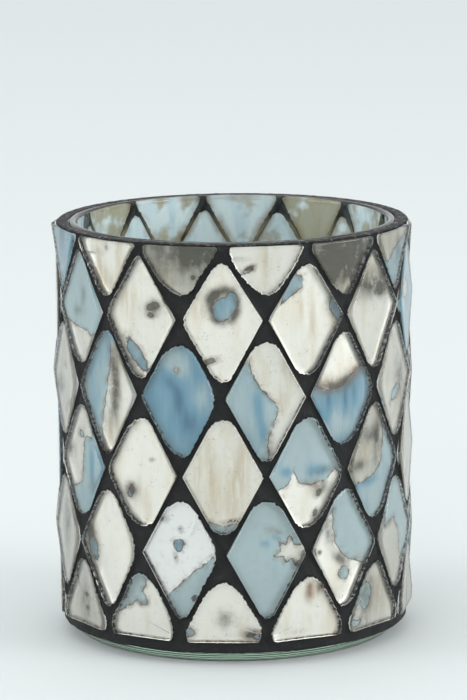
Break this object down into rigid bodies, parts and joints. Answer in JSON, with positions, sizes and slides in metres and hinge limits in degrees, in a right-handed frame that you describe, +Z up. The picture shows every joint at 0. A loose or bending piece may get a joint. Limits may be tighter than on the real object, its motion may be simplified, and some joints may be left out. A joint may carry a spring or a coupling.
{
  "type": "mosaic candle holder",
  "caption": "Straight open glass cup clad in flat diamond tiles of antiqued silvered glass set in dark grout; holds a candle and stands on its flat foot.",
  "frame": {"origin": "centre of the foot, on the table", "axes": "+Z up along the axis of the cup; -Y faces the viewer"},
  "size_m": [0.089, 0.089, 0.1024],
  "materials": {
    "clear_glass": "clear, faintly green, fire-polished",
    "silvered_glass": "antiqued silvering behind clear glass, lost in blotches that show pale blue paint",
    "grout": "sanded, near black"
  },
  "bodies": {
    "root": {"glass_cup": "clear_glass", "grout": "grout", "top_half_tiles": "silvered_glass", "base_half_tiles": "silvered_glass", "tile_row1_01": "silvered_glass", "tile_row1_02": "silvered_glass", "tile_row1_03": "silvered_glass", "tile_row1_04": "silvered_glass", "tile_row1_05": "silvered_glass", "tile_row1_06": "silvered_glass", "tile_row1_07": "silvered_glass", "tile_row1_08": "silvered_glass", "tile_row1_09": "silvered_glass", "tile_row1_10": "silvered_glass", "tile_row1_11": "silvered_glass", "tile_row1_12": "silvered_glass", "tile_row1_13": "silvered_glass", "tile_row2_01": "silvered_glass", "tile_row2_02": "silvered_glass", "tile_row2_03": "silvered_glass", "tile_row2_04": "silvered_glass", "tile_row2_05": "silvered_glass", "tile_row2_06": "silvered_glass", "tile_row2_07": "silvered_glass", "tile_row2_08": "silvered_glass", "tile_row2_09": "silvered_glass", "tile_row2_10": "silvered_glass", "tile_row2_11": "silvered_glass", "tile_row2_12": "silvered_glass", "tile_row2_13": "silvered_glass", "tile_row3_01": "silvered_glass", "tile_row3_02": "silvered_glass", "tile_row3_03": "silvered_glass", "tile_row3_04": "silvered_glass", "tile_row3_05": "silvered_glass", "tile_row3_06": "silvered_glass", "tile_row3_07": "silvered_glass", "tile_row3_08": "silvered_glass", "tile_row3_09": "silvered_glass", "tile_row3_10": "silvered_glass", "tile_row3_11": "silvered_glass", "tile_row3_12": "silvered_glass", "tile_row3_13": "silvered_glass", "tile_row4_01": "silvered_glass", "tile_row4_02": "silvered_glass", "tile_row4_03": "silvered_glass", "tile_row4_04": "silvered_glass", "tile_row4_05": "silvered_glass", "tile_row4_06": "silvered_glass", "tile_row4_07": "silvered_glass", "tile_row4_08": "silvered_glass", "tile_row4_09": "silvered_glass", "tile_row4_10": "silvered_glass", "tile_row4_11": "silvered_glass", "tile_row4_12": "silvered_glass", "tile_row4_13": "silvered_glass"}
  },
  "joints": []
}
